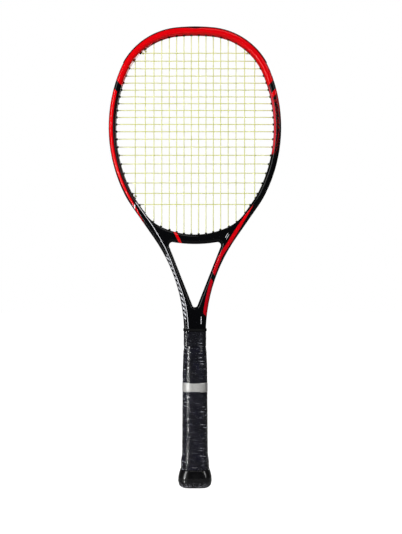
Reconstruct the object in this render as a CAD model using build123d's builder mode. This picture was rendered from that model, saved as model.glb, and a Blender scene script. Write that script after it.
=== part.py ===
from build123d import *
from collections import namedtuple
from math import radians, sqrt, tan
import os

# Tennis racket, standing upright on its butt: +Z runs from the butt to the tip, X across the
# string face, Y through it with the front face towards -Y. Millimetres. The origin is the centre
# of the butt cap's end face.

# ---- whole racket -------------------------------------------------------------------------
racket_length = 685.8
beam_depth = 22.0            # through the face, the same along the whole frame
beam_edge_radius = 4.8       # rounding along the front and back edges
carbon_wall = 1.6
bumper_proud = 0.9           # how far the bumper stands out of the hoop
crown_height = racket_length - bumper_proud
overcut = 1.0                # how far a cutting shape reaches past what it cuts
far = racket_length          # longer than any cut needs

# ---- hoop: four tangent arcs a side, radius of the outer face and the angle it turns --------
crown_radius, crown_sweep = 274.0, 5.7
shoulder_radius, shoulder_sweep = 102.3, 61.8
side_radius, side_sweep = 222.6, 49.0
cheek_radius, cheek_sweep = 132.0, 8.4
hoop_tube_width = 10.6       # in the plane of the face

# ---- throat and shaft -----------------------------------------------------------------------
arm_radius = 250.0           # reverse bend of the arm's outer face into the shaft
shaft_half_width = 16.2
fork_height = crown_height - 424.4             # where the arms' inner faces would meet
fork_angle = 21.5            # each arm's inner face, from the upright
fork_radius = 4.0
throat_top_height = crown_height - 318.4
throat_corner_radius = 5.0
bridge_bottom_height = crown_height - 322.9
bridge_top_height = crown_height - 308.9
bridge_top_radius = 115.0
bridge_blend_radius = 60.0
bridge_foot_height = crown_height - 328.9      # lowest point of the bridge's bonded ends
leg_narrowing = 3.2          # from the shaft's side in to the leg's, inside the handle
neck_above, neck_below = 2.0, 14.0             # the narrowing starts and ends, from the grip's top
neck_bend = 20.0
leg_web = 3.2                # wall between the two legs
leg_end_height = 12.0

# ---- handle ---------------------------------------------------------------------------------
pallet_top_height = 206.0
foam_low_side, foam_low_face = 1.2, 4.4        # pallet beyond the shaft's sides and faces, at its foot
foam_high_side, foam_high_face = 0.1, 3.4      # and at its top
pallet_top_chamfer = 2.0
pallet_bevel = 7.0           # corner facet of the octagon, measured along each side
cap_flare_top = 27.0
cap_sleeve_top = 44.0
cap_sleeve_wall = 1.4
cap_floor = 3.0
cap_foot_radius = 1.5
cap_flare = [(0, 5.2), (4, 11.6), (10, 14.2), (16, 13.6), (22, 10.6), (cap_flare_top, 7.2)]
cap_fit = 0.1                # between pallet and cap
badge_radius, badge_thickness = 9.5, 1.6
badge_fit = 0.1
badge_chamfer = 0.4
grip_thickness = 1.7
grip_bottom_height = 27.3
grip_top_height = 210.0
grip_top_thickness = 0.6     # skived thin, over the pallet's line
grip_skive = 4.0             # below the pallet's top, where the thinning starts
grip_step_run = 6.0          # above and below the cap sleeve's edge, where the grip steps in
tape_top_height = 231.6
tape_thickness = 0.35
film_thickness = 0.3
film_gap = 0.05
film_top_margin = 1.0        # tape left bare above the film
band_bottom_height, band_top_height = 142.0, 156.0
band_thickness = 0.35
collar_bottom_height = 232.2
collar_height = 3.6
collar_fit = 0.6             # at rest; the shaft widens as the collar slides up
collar_wall = 0.75
staple_wire, staple_crown = 0.8, 9.0
cap_staple_leg, grip_staple_leg = 4.0, 0.8
staple_fit = 0.02
cap_staple_height = 37.0
grip_staple_height = 31.0

# ---- strings --------------------------------------------------------------------------------
string_diameter = 1.27
weave_gap = 0.05             # between mains and crosses where they pass
weave_offset = (string_diameter + weave_gap) / 2    # mains lie in front, crosses behind
main_count, cross_count = 16, 20
main_pitch, main_spread = 10.95, 0.000117     # the pitch opens towards the sides
main_spread_power = 5.66
cross_top_height = crown_height - 38.0
cross_pitch, cross_spread = 10.14, 0.0455     # the pitch opens away from its tightest place
cross_tightest = 6.1
bridge_mains = 4             # a side, that pass through the bridge
bridge_fan = 0.90            # the bridge's holes lean together a little on their way out
string_bend = 1.1            # centre line radius over a grommet
string_mouth_bend = 2.2      # centre line radius at a barrel's mouth
mouth_gap = 1.0              # from a barrel's mouth to the middle of that bend
loop_bend = 20.0             # centre line radius midway along a long loop
loop_sag = 0.2               # a loop that would cut this far into its strip bends midway
straight_limit = 8.0         # degrees within which a hole is drilled along its string

# ---- grommets -------------------------------------------------------------------------------
groove_width, groove_depth = 5.4, 2.7
strip_width, strip_thickness = 5.2, 0.9
barrel_radius, barrel_bore = 1.65, 1.1
tie_barrel_radius, tie_barrel_bore = 2.4, 1.8
barrel_mouth = 1.8           # how far a barrel stands inside the hoop
hole_fit = 0.06              # round a barrel, in the carbon
seat_slack = 0.35            # between a string loop and its strip
bumper_width = 12.0
bumper_end_height = crown_height - 52.9
side_strip_end_height = crown_height - 214.9
strip_gap = 1.0              # between strips that follow each other
lower_strip_end_height = crown_height - 320.9
knot_radius = 1.9
knot_clearance = 0.15        # from a barrel's end to its knot

os.makedirs("parts", exist_ok=True)

leg_half_width = shaft_half_width - leg_narrowing
pallet_low_width, pallet_low_depth = 2 * (shaft_half_width + foam_low_side), beam_depth + 2 * foam_low_face
pallet_high_width = 2 * (shaft_half_width + foam_high_side)
pallet_high_depth = beam_depth + 2 * foam_high_face
knot_gap = knot_radius - mouth_gap + knot_clearance
total_sweep = crown_sweep + shoulder_sweep + side_sweep + cheek_sweep
arm_turn = total_sweep - 90.0
seat_depth = groove_depth - strip_thickness - string_diameter / 2 - seat_slack
face = Plane.XZ              # sketches of the string face: local x is X, local y is Z


# ---- outlines -------------------------------------------------------------------------------
def hoop_arcs(inset):
    """Right half of the hoop, from the crown to the cheek, inset from its outer face."""
    crown = JernArc((0, crown_height - inset), (1, 0), crown_radius - inset, -crown_sweep)
    shoulder = JernArc(crown @ 1, crown % 1, shoulder_radius - inset, -shoulder_sweep)
    side = JernArc(shoulder @ 1, shoulder % 1, side_radius - inset, -side_sweep)
    return JernArc(side @ 1, side % 1, cheek_radius - inset, -cheek_sweep)


def frame_outline(inset=0.0):
    """The whole frame's silhouette as a filled face, inset from its outer face."""
    half = shaft_half_width - inset
    leg = leg_half_width - inset
    with BuildSketch(face) as outline:
        with BuildLine():
            cheek = hoop_arcs(inset)
            heading = cheek % 1
            reach = ((cheek @ 1).X - half) / -heading.X
            tangent_length = (arm_radius + inset) * tan(radians(arm_turn / 2))
            run = Line(cheek @ 1, cheek @ 1 + heading * (reach - tangent_length))
            arm = JernArc(run @ 1, heading, arm_radius + inset, arm_turn)
            neck = FilletPolyline(
                arm @ 1,
                (half, grip_top_height + neck_above),
                (leg, grip_top_height - neck_below),
                (leg, leg_end_height),
                radius=neck_bend,
            )
            Line(neck @ 1, (0, leg_end_height))
            mirror(about=Plane.YZ)
        make_face()
    return outline.sketch


with BuildSketch(face) as head_opening:
    with BuildLine():
        inner_cheek = hoop_arcs(hoop_tube_width)
        fall = ((inner_cheek @ 1).Y - bridge_bottom_height) / -(inner_cheek % 1).Y
        inner_run = Line(inner_cheek @ 1, inner_cheek @ 1 + (inner_cheek % 1) * fall)
        Line(inner_run @ 1, (0, bridge_bottom_height))
        mirror(about=Plane.YZ)
    make_face()
    with BuildSketch(mode=Mode.INTERSECT):
        with Locations((0, bridge_top_height + bridge_top_radius)):
            Circle(bridge_top_radius)
            Rectangle(far, far, align=(Align.CENTER, Align.MIN))
    fillet(head_opening.vertices().group_by(Axis.Y)[0], radius=bridge_blend_radius)

with BuildSketch(face) as throat_opening:
    throat_half = (throat_top_height - fork_height) * tan(radians(fork_angle))
    with BuildLine():
        Polyline(
            (-throat_half, throat_top_height), (0, fork_height), (throat_half, throat_top_height)
        )
        ThreePointArc(
            (-throat_half, throat_top_height),
            (0, bridge_bottom_height),
            (throat_half, throat_top_height),
        )
    make_face()
    fillet(throat_opening.vertices().sort_by(Axis.Y)[0], radius=fork_radius)
    fillet(throat_opening.vertices().group_by(Axis.Y)[-1], radius=throat_corner_radius)

with BuildSketch(face) as bridge_zone:
    add(frame_outline(hoop_tube_width))
    with BuildSketch(mode=Mode.INTERSECT):
        with Locations((0, bridge_foot_height)):
            Rectangle(far, far, align=(Align.CENTER, Align.MIN))


# ---- frame ----------------------------------------------------------------------------------
def beam(plan, depth, edge_radius):
    """The plan extruded through the face, its front and back edges rounded."""
    with BuildPart() as body:
        extrude(Pos(0, depth / 2, 0) * plan, amount=depth, dir=(0, -1, 0))
        rims = body.faces().sort_by(Axis.Y)[0].edges() + body.faces().sort_by(Axis.Y)[-1].edges()
        ends = rims.filter_by_position(Axis.Z, -far, leg_end_height + carbon_wall)
        fillet([rim for rim in rims if rim not in ends], radius=edge_radius)
    return body.part


def slab(plan, depth):
    """The plan extruded through the face, with square edges."""
    with BuildPart() as body:
        extrude(Pos(0, depth / 2, 0) * plan, amount=depth, dir=(0, -1, 0))
    return body.part


with BuildSketch(face) as frame_plan:
    add(frame_outline())
    add(head_opening.sketch, mode=Mode.SUBTRACT)
    add(throat_opening.sketch, mode=Mode.SUBTRACT)
frame_blank = beam(frame_plan.sketch, beam_depth, beam_edge_radius)


def ring(outside, inside, width, above):
    """A band that follows the frame's outer face between two insets, above a height."""
    with BuildSketch(face) as plan:
        add(frame_outline(outside))
        add(frame_outline(inside), mode=Mode.SUBTRACT)
        with BuildSketch(mode=Mode.INTERSECT):
            with Locations((0, above)):
                Rectangle(far, far, align=(Align.CENTER, Align.MIN))
    return slab(plan.sketch, width)


def underside_ring(outside, inside, width, half_length):
    """A band that follows the bridge's underside between two insets."""
    with BuildSketch(face) as plan:
        with Locations((0, bridge_bottom_height + underside_radius)):
            Circle(underside_radius - outside)
            Circle(underside_radius - inside, mode=Mode.SUBTRACT)
        with BuildSketch(mode=Mode.INTERSECT):
            with Locations((0, bridge_bottom_height)):
                Rectangle(2 * half_length, underside_radius)
    return slab(plan.sketch, width)


def underside(x):
    """Height of the bridge's underside at a distance from the axis."""
    return bridge_bottom_height + underside_radius - sqrt(underside_radius**2 - x**2)


throat_sag = throat_top_height - bridge_bottom_height
underside_radius = (throat_half**2 + throat_sag**2) / (2 * throat_sag)

# ---- string pattern -------------------------------------------------------------------------
# Each hole has a mouth, where its string bends inside the hoop, and a seat, where it turns into
# the groove.
Hole = namedtuple("Hole", "mouth seat straight")
seat_plan = frame_outline(seat_depth)
seat_line = seat_plan.face().outer_wire()


def ends(start, finish, plan):
    """The two points where a line enters and leaves a flat plan."""
    inside = plan & Edge.make_line(start, finish)
    run = inside.edges()[0]
    return sorted((run @ 0, run @ 1), key=lambda point: (point - Vector(start)).length)


def hole(entry, way):
    """The hole for a string that meets the hoop's inner face at `entry`, going along `way`.

    It is drilled halfway between the string's own line and the shortest way through the tube.
    """
    mouth = entry - way * (barrel_mouth + mouth_gap)
    shortest = (seat_line.closest_points(entry)[0] - entry).normalized()
    straight = shortest.get_angle(way) < straight_limit
    drilled = way if straight else (shortest + way).normalized()
    return Hole(mouth, ends(mouth, mouth + drilled * far, seat_plan)[1], straight)


def bridge_hole(entry, lean):
    """The hole for a main string that leaves under the bridge, leaning a little to the middle."""
    mouth = entry + Vector(0, 0, barrel_mouth + mouth_gap)
    drop = mouth.Z - bridge_bottom_height
    straight = (1 - lean) * mouth.X < drop * tan(radians(straight_limit))
    x = mouth.X if straight else mouth.X * lean
    return Hole(mouth, Vector(x, 0, underside(x) + seat_depth), straight)


def mirrored(right):
    """The same hole on the other side of the axis."""
    left = [Vector(-point.X, 0, point.Z) for point in (right.mouth, right.seat)]
    return Hole(left[0], left[1], right.straight)


right_mains = []
for number in range(main_count // 2):
    x = main_pitch * (number + 0.5) + main_spread * number**main_spread_power
    low_entry, high_entry = ends((x, 0, 0), (x, 0, far), head_opening.sketch)
    high = hole(high_entry, Vector(0, 0, 1))
    if number < bridge_mains:
        low = bridge_hole(low_entry, bridge_fan)
    else:
        low = hole(low_entry, Vector(0, 0, -1))
    right_mains.append((low, high))
mains = [tuple(mirrored(end) for end in main) for main in reversed(right_mains)] + right_mains

crosses = []
height = cross_top_height
for number in range(cross_count):
    right_entry = ends((-far, 0, height), (far, 0, height), head_opening.sketch)[1]
    right = hole(right_entry, Vector(1, 0, 0))
    crosses.append((mirrored(right), right))
    height -= cross_pitch + cross_spread * (number - cross_tightest) ** 2

main_tie_holes = [crosses[0][0], crosses[0][1]]
cross_tie_holes = [mains[1][1], mains[0][0]]
tie_holes = main_tie_holes + cross_tie_holes
main_holes = [end for main in mains for end in main]
cross_holes = [end for cross in crosses for end in cross]


def bars(holes, radius, shift, outset=0.0, inset=0.0):
    """Round bars along the holes, from the seat (plus outset) to the mouth (less inset)."""
    solids = []
    for each in holes:
        way = (each.mouth - each.seat).normalized()
        start = each.seat + way * outset + Vector(0, shift, 0)
        length = (each.mouth - each.seat).length - outset - inset
        solids.append(Solid.make_cylinder(radius, length, Plane(origin=start, z_dir=way)))
    return solids


plain_mains = [each for each in main_holes if each not in tie_holes]
plain_crosses = [each for each in cross_holes if each not in tie_holes]
all_holes = plain_mains + plain_crosses + tie_holes
strip_top = string_diameter / 2 + seat_slack


def barrels(chosen, radius, tie_radius, outset=0.0, inset=0.0):
    """Bars for the chosen holes, each in its string's plane, or midway in a shared hole."""
    in_front = [each for each in plain_mains if each in chosen]
    behind = [each for each in plain_crosses if each in chosen]
    shared = [each for each in tie_holes if each in chosen]
    solids = bars(in_front, radius, -weave_offset, outset, inset)
    solids += bars(behind, radius, weave_offset, outset, inset)
    return solids + bars(shared, tie_radius, 0, outset, inset)


def under_bridge(each):
    """Whether a hole opens under the bridge."""
    return abs(each.seat.X) < throat_half and each.seat.Z < side_strip_end_height


def holes_between(low, high, side):
    """The hoop's holes between two heights on one side of the axis, or on both for a side of 0."""
    level = [each for each in all_holes if low < each.seat.Z < high and not under_bridge(each)]
    return [each for each in level if each.seat.X * side >= 0]


# ---- hairpin frame: one carbon tube bent into hoop, arms and legs ---------------------------
with BuildSketch(face) as tube_plan:
    add(frame_plan.sketch)
    add(bridge_zone.sketch, mode=Mode.SUBTRACT)
    offset(amount=-carbon_wall, kind=Kind.INTERSECTION)
bridge_block = slab(bridge_zone.sketch, 2 * beam_depth)
tube_space = beam(tube_plan.sketch, beam_depth - 2 * carbon_wall, beam_edge_radius - carbon_wall)

with BuildPart() as hairpin_frame:
    add(frame_blank)
    add(bridge_block, mode=Mode.SUBTRACT)
    with BuildPart(mode=Mode.SUBTRACT):
        add(tube_space)
        with Locations((0, 0, leg_end_height)):
            Box(leg_half_width, beam_depth, 4 * carbon_wall)
        with Locations((0, 0, fork_height)):
            Box(leg_web, beam_depth, 2 * far, mode=Mode.SUBTRACT)
        channel_width = groove_width + 2 * carbon_wall
        channel_end = lower_strip_end_height - carbon_wall
        add(ring(0, groove_depth + carbon_wall, channel_width, channel_end), mode=Mode.SUBTRACT)
    add(ring(-overcut, groove_depth, groove_width, lower_strip_end_height), mode=Mode.SUBTRACT)
    add(barrels(all_holes, barrel_radius + hole_fit, tie_barrel_radius + hole_fit), mode=Mode.SUBTRACT)
hairpin_frame.part.label = "hairpin_frame"
export_step(hairpin_frame.part, "parts/hairpin_frame.step")

# ---- throat bridge: foam-cored carbon, bonded across the hoop -------------------------------
bridge_strip_half = throat_half - throat_corner_radius
bridge_groove = underside_ring(-overcut, groove_depth, groove_width, bridge_strip_half + hole_fit)
with BuildPart() as throat_bridge:
    add(frame_blank)
    add(bridge_block, mode=Mode.INTERSECT)
    add(bridge_groove, mode=Mode.SUBTRACT)
    add(barrels(all_holes, barrel_radius + hole_fit, tie_barrel_radius + hole_fit), mode=Mode.SUBTRACT)
throat_bridge.part.label = "throat_bridge"
export_step(throat_bridge.part, "parts/throat_bridge.step")


# ---- grommet strips: a flat band in the groove with a barrel through each hole ---------------
def strip(band, chosen):
    """A band of the groove with its barrels, all bored through."""
    with BuildPart() as piece:
        add(band)
        add(barrels(chosen, barrel_radius, tie_barrel_radius, strip_top, mouth_gap))
        add(barrels(chosen, barrel_bore, tie_barrel_bore), mode=Mode.SUBTRACT)
    return piece.part


bed = groove_depth - hole_fit


def outer_band(top, end):
    """The flat band in the hoop's groove, on both sides, between two heights."""
    with BuildPart() as band:
        add(ring(bed - strip_thickness, bed, strip_width, end))
        with Locations((0, 0, top)):
            Box(far, far, far, align=(Align.CENTER, Align.CENTER, Align.MIN), mode=Mode.SUBTRACT)
    return band.part


def half_of(band, side):
    """The part of a band on one side of the axis."""
    with BuildPart() as half:
        add(band)
        with Locations((side * far / 2, 0, 0)):
            Box(far, far, 3 * far, mode=Mode.INTERSECT)
    return half.part


channel_half = weave_offset + string_diameter / 2 + seat_slack
with BuildPart() as bumper_band:
    add(ring(-bumper_proud, 0, bumper_width, bumper_end_height))
    add(ring(-bumper_proud, bed, strip_width, bumper_end_height))
    channel = ring(-overcut, bed - strip_thickness, 2 * channel_half, bumper_end_height - overcut)
    add(channel, mode=Mode.SUBTRACT)
bumper_guard = strip(bumper_band.part, holes_between(bumper_end_height, far, 0))
bumper_guard.label = "bumper_guard"
export_step(bumper_guard, "parts/bumper_guard.step")

sides = {"left": -1, "right": 1}
side_band = outer_band(bumper_end_height - strip_gap, side_strip_end_height)
lower_band = outer_band(side_strip_end_height - strip_gap, lower_strip_end_height)
for name, side in sides.items():
    side_holes = holes_between(side_strip_end_height, bumper_end_height, side)
    side_strip = strip(half_of(side_band, side), side_holes)
    side_strip.label = f"grommet_strip_{name}"
    export_step(side_strip, f"parts/grommet_strip_{name}.step")
    cheek_strip = strip(half_of(lower_band, side), holes_between(0, side_strip_end_height, side))
    cheek_strip.label = f"lower_grommet_{name}"
    export_step(cheek_strip, f"parts/lower_grommet_{name}.step")

bridge_band = underside_ring(bed - strip_thickness, bed, strip_width, bridge_strip_half)
bridge_grommet = strip(bridge_band, [each for each in all_holes if under_bridge(each)])
bridge_grommet.label = "bridge_grommet"
export_step(bridge_grommet, "parts/bridge_grommet.step")


# ---- strings: each set is one length that turns in the groove from hole to hole -------------
def flat(point):
    """A point of the face as its two coordinates."""
    return (point.X, point.Z)


def loop(first, second):
    """Seats of a loop from one hole to the next, with a point between where it is long."""
    middle = (first.seat + second.seat) / 2
    between = seat_line.closest_points(middle)[0]
    if under_bridge(first) or (between - middle).length < loop_sag:
        return [first.seat, second.seat], [string_bend, string_bend]
    return [first.seat, between, second.seat], [string_bend, loop_bend, string_bend]


def knot_place(tied):
    """Centre of the knot on a tail that comes back in through a shared hole."""
    return tied.mouth + (tied.mouth - tied.seat).normalized() * knot_gap


def string_route(spans, first_tie, last_tie):
    """Points and bend radii of a string that goes through the spans in turn, tied at both ends."""
    stops = [first_tie] + [end for span in spans for end in span] + [last_tie]
    points, radii = [knot_place(first_tie)], []
    for first, second in zip(stops[0::2], stops[1::2]):
        seats, bends = loop(first, second)
        if first is not first_tie and not first.straight:
            points.append(first.mouth)
            radii.append(string_mouth_bend)
        points += seats
        radii += bends
        if second is not last_tie and not second.straight:
            points.append(second.mouth)
            radii.append(string_mouth_bend)
    return [flat(point) for point in points + [knot_place(last_tie)]], radii


def string_along(points, radii, shift):
    """The string itself, in a plane `shift` behind the middle of the hoop."""
    with BuildPart() as string:
        with BuildLine(face.offset(-shift)) as route:
            FilletPolyline(*points, radius=radii)
        with BuildSketch(Plane(origin=route.line @ 0, z_dir=route.line % 0)):
            Circle(string_diameter / 2)
        sweep()
    return string.part


main_spans = [main[::-1] if number % 2 == 0 else main for number, main in enumerate(mains)]
main_string = string_along(*string_route(main_spans, *main_tie_holes), -weave_offset)
main_string.label = "main_string"
export_step(main_string, "parts/main_string.step")

cross_spans = [cross if number % 2 == 0 else cross[::-1] for number, cross in enumerate(crosses)]
cross_points, cross_radii = string_route(cross_spans, *cross_tie_holes)
cross_string = string_along(cross_points[::-1], cross_radii[::-1], weave_offset)
cross_string.label = "cross_string"
export_step(cross_string, "parts/cross_string.step")

# Each end is knotted where it comes back inside the hoop, against the barrel it shares.
with BuildPart() as tie_off_knots:
    for tied, shift in ((main_tie_holes, -weave_offset), (cross_tie_holes, weave_offset)):
        for each in tied:
            with Locations(knot_place(each) + Vector(0, shift, 0)):
                Sphere(knot_radius)
tie_off_knots.part.label = "tie_off_knots"
export_step(tie_off_knots.part, "parts/tie_off_knots.step")


# ---- handle ---------------------------------------------------------------------------------
def octagon_loft(sections):
    """A straight-sided loft through octagons given as (height, width, depth)."""
    with BuildPart() as shape:
        for height, width, depth in sections:
            with BuildSketch(Plane.XY.offset(height)) as section:
                Rectangle(width, depth)
                chamfer(section.vertices(), length=pallet_bevel)
        loft(ruled=True)
    return shape.part


def pallet_size(height):
    """Width and depth of the tapered pallet at a height."""
    share = height / pallet_top_height
    width = pallet_low_width + (pallet_high_width - pallet_low_width) * share
    return width, pallet_low_depth + (pallet_high_depth - pallet_low_depth) * share


def handle_shape(sections):
    """An octagonal loft through (height, growth over the pallet) pairs."""
    sizes = [(height, growth, *pallet_size(height)) for height, growth in sections]
    return octagon_loft(
        [(height, width + 2 * growth, depth + 2 * growth) for height, growth, width, depth in sizes]
    )


pallet_bottom = cap_floor + cap_fit
pallet_blank = handle_shape([(pallet_bottom, 0), (pallet_top_height, 0)])
cap_gap = handle_shape([(cap_floor, cap_fit), (cap_sleeve_top, cap_fit)])
sleeve_growth = cap_fit + cap_sleeve_wall
sleeve = handle_shape([(cap_floor, sleeve_growth), (cap_sleeve_top, sleeve_growth)])

# Flared end: the cap's octagon, from its foot to where the sleeve begins.
with BuildPart() as cap_blank:
    add(
        octagon_loft(
            [(height, pallet_low_width + more, pallet_low_depth + more) for height, more in cap_flare]
        )
    )
    add(sleeve)


def staples(height, outer_half_depth, leg):
    """Two staples driven into the front and back flats, crowns level with the surface."""
    leg_place = (staple_crown - staple_wire) / 2
    with BuildPart() as pair:
        with BuildSketch(Plane.XY.offset(height)):
            with Locations((0, -outer_half_depth)):
                Rectangle(staple_crown, staple_wire, align=(Align.CENTER, Align.MIN))
                with Locations((-leg_place, 0), (leg_place, 0)):
                    Rectangle(staple_wire, staple_wire + leg, align=(Align.CENTER, Align.MIN))
        extrude(amount=staple_wire / 2, both=True)
        mirror(about=Plane.XZ)
    return pair.part


def slot_for(pair):
    """The staples with a little room all round."""
    return offset(pair, amount=staple_fit, mode=Mode.PRIVATE)


sleeve_half_depth = pallet_size(cap_staple_height)[1] / 2 + sleeve_growth
butt_cap_staples = staples(cap_staple_height, sleeve_half_depth, cap_staple_leg)
butt_cap_staples.label = "butt_cap_staples"
export_step(butt_cap_staples, "parts/butt_cap_staples.step")

with BuildPart() as handle_pallet:
    add(pallet_blank)
    chamfer(handle_pallet.faces().sort_by(Axis.Z)[-1].edges(), length=pallet_top_chamfer)
    add(frame_blank, mode=Mode.SUBTRACT)
    add(slot_for(butt_cap_staples), mode=Mode.SUBTRACT)
handle_pallet.part.label = "handle_pallet"
export_step(handle_pallet.part, "parts/handle_pallet.step")

with BuildPart() as butt_cap:
    add(cap_blank)
    fillet(butt_cap.edges().group_by(Axis.Z)[0], radius=cap_foot_radius)
    add(cap_gap, mode=Mode.SUBTRACT)
    with BuildSketch():
        Circle(badge_radius + badge_fit)
    extrude(amount=badge_thickness, mode=Mode.SUBTRACT)
    add(slot_for(butt_cap_staples), mode=Mode.SUBTRACT)
butt_cap.part.label = "butt_cap"
export_step(butt_cap.part, "parts/butt_cap.step")

with BuildPart() as butt_cap_badge:
    with BuildSketch():
        Circle(badge_radius)
    extrude(amount=badge_thickness - badge_fit)
    chamfer(butt_cap_badge.edges().group_by(Axis.Z)[0], length=badge_chamfer)
butt_cap_badge.part.label = "butt_cap_badge"
export_step(butt_cap_badge.part, "parts/butt_cap_badge.step")

# ---- grip: wound over the pallet and the cap's sleeve, skived thin at its top end -----------
grip_sections = [
    (grip_bottom_height, sleeve_growth + grip_thickness),
    (cap_sleeve_top - grip_step_run, sleeve_growth + grip_thickness),
    (cap_sleeve_top + grip_step_run, grip_thickness),
    (pallet_top_height - grip_skive, grip_thickness),
    (grip_top_height, grip_top_thickness),
]


def grown(sections, extra):
    """The same sections, a little larger all round."""
    return [(height, growth + extra) for height, growth in sections]


grip_half_depth = pallet_size(grip_staple_height)[1] / 2 + sleeve_growth + grip_thickness
grip_start_staple = staples(grip_staple_height, grip_half_depth, grip_staple_leg)
grip_start_staple.label = "grip_start_staple"
export_step(grip_start_staple, "parts/grip_start_staple.step")

grip_blank = handle_shape(grip_sections)
with BuildPart() as base_grip:
    add(grip_blank)
    add([frame_blank, pallet_blank, sleeve], mode=Mode.SUBTRACT)
    add(slot_for(grip_start_staple), mode=Mode.SUBTRACT)
base_grip.part.label = "base_grip"
export_step(base_grip.part, "parts/base_grip.step")


def shaft_section(growth, mode=Mode.ADD):
    """The shaft's section, grown all round, in the sketch that is open."""
    width, depth = 2 * (shaft_half_width + growth), beam_depth + 2 * growth
    RectangleRounded(width, depth, beam_edge_radius + growth, mode=mode)


def shaft_sleeve(low, high, inner, outer):
    """A sleeve round the shaft between two heights, from one growth over the shaft to another."""
    with BuildPart() as body:
        with BuildSketch(Plane.XY.offset(low)):
            shaft_section(outer)
            shaft_section(inner, Mode.SUBTRACT)
        extrude(amount=high - low)
    return body.part


tape_low = grip_top_height + hole_fit
finishing_tape = shaft_sleeve(tape_low, tape_top_height, hole_fit, tape_thickness)
finishing_tape.label = "finishing_tape"
export_step(finishing_tape, "parts/finishing_tape.step")

collar_top_height = collar_bottom_height + collar_height
grip_collar = shaft_sleeve(
    collar_bottom_height, collar_top_height, collar_fit, collar_fit + collar_wall
)
grip_collar.label = "grip_collar"
export_step(grip_collar, "parts/grip_collar.step")

# ---- clear film over grip and tape, and the paper band round it -----------------------------
film_inside = tape_thickness + film_gap
film_top_height = tape_top_height - film_top_margin
with BuildPart() as grip_film:
    add(handle_shape(grown(grip_sections, film_gap + film_thickness)))
    add(shaft_sleeve(grip_top_height, film_top_height, film_inside, film_inside + film_thickness))
    add(handle_shape(grown(grip_sections, film_gap)), mode=Mode.SUBTRACT)
grip_film.part.label = "grip_film"
export_step(grip_film.part, "parts/grip_film.step")

band_sections = [(band_bottom_height, grip_thickness), (band_top_height, grip_thickness)]
film_outside = 2 * film_gap + film_thickness
with BuildPart() as label_band:
    add(handle_shape(grown(band_sections, film_outside + band_thickness)))
    add(handle_shape(grown(band_sections, film_outside)), mode=Mode.SUBTRACT)
label_band.part.label = "label_band"
export_step(label_band.part, "parts/label_band.step")
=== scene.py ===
import math
import bmesh
import bpy
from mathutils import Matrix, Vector, noise
from mathutils.bvhtree import BVHTree


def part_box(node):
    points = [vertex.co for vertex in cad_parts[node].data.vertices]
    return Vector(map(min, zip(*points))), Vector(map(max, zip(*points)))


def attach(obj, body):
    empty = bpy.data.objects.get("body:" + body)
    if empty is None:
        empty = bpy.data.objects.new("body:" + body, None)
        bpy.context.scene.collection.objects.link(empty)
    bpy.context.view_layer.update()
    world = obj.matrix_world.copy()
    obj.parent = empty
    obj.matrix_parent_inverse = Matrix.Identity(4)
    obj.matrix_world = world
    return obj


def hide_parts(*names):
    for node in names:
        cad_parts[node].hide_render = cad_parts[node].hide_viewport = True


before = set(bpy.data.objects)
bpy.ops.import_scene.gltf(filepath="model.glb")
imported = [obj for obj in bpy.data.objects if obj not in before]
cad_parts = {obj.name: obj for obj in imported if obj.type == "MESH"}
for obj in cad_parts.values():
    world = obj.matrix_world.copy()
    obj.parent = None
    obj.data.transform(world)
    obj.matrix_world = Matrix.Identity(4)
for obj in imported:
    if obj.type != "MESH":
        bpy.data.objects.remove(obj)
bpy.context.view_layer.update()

# ---- Studio -------------------------------------------------------------------------------
# The racket stands upright in a white studio: pale floor, white background, soft boxes at the
# sides that draw the long highlights on the lacquer and on the film.
MM = 0.001
VIEW_DISTANCE = 1.6
VIEW_AIM = Vector((0.009, 0.0, 0.3276))
VIEW_HEIGHT = 0.7978
SENSOR = 36.0
STUDIO_GLOW = 0.07
FLOOR_HALF = 6.0
FLOOR_GREY = 0.45

scene = bpy.context.scene
scene.view_settings.view_transform = "Standard"

camera = bpy.data.objects.new("camera", bpy.data.cameras.new("camera"))
scene.collection.objects.link(camera)
camera.data.sensor_fit = "VERTICAL"
camera.data.sensor_height = SENSOR
camera.data.lens = SENSOR * VIEW_DISTANCE / VIEW_HEIGHT
camera.location = VIEW_AIM - Vector((0.0, VIEW_DISTANCE, 0.0))
camera.rotation_euler = (math.radians(90), 0.0, 0.0)
scene.camera = camera


def softbox(name, place, aim, width, height, power):
    """A rectangular soft light at a place, turned to what it lights."""
    lamp = bpy.data.lights.new(name, "AREA")
    lamp.shape = "RECTANGLE"
    lamp.size, lamp.size_y, lamp.energy = width, height, power
    box = bpy.data.objects.new(name, lamp)
    box.location = place
    box.rotation_euler = (Vector(aim) - Vector(place)).to_track_quat("-Z", "Y").to_euler()
    scene.collection.objects.link(box)


softbox("key_light", (-1.25, -1.4, 0.75), (0, 0, 0.35), 0.45, 1.3, 20)
softbox("fill_light", (1.3, -1.2, 1.2), (0, 0, 0.4), 0.35, 1.0, 8)
softbox("top_light", (0.3, -0.9, 1.8), (0, 0, 0.6), 0.7, 0.5, 5)
softbox("back_light", (0.5, 1.7, 0.9), (0, 0, 0.4), 0.5, 1.2, 12)
softbox("handle_light", (-0.85, -1.05, 0.17), (0, 0, 0.13), 0.04, 0.5, 8)

world = bpy.data.worlds.new("studio")
world.use_nodes = True
scene.world = world
backdrop = world.node_tree.nodes["Background"]
sight = world.node_tree.nodes.new("ShaderNodeLightPath")
shade = world.node_tree.nodes.new("ShaderNodeMix")
shade.inputs["A"].default_value = STUDIO_GLOW
shade.inputs["B"].default_value = 1.0
world.node_tree.links.new(sight.outputs["Is Camera Ray"], shade.inputs["Factor"])
world.node_tree.links.new(shade.outputs["Result"], backdrop.inputs["Strength"])
backdrop.inputs["Color"].default_value = (1, 1, 1, 1)


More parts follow.
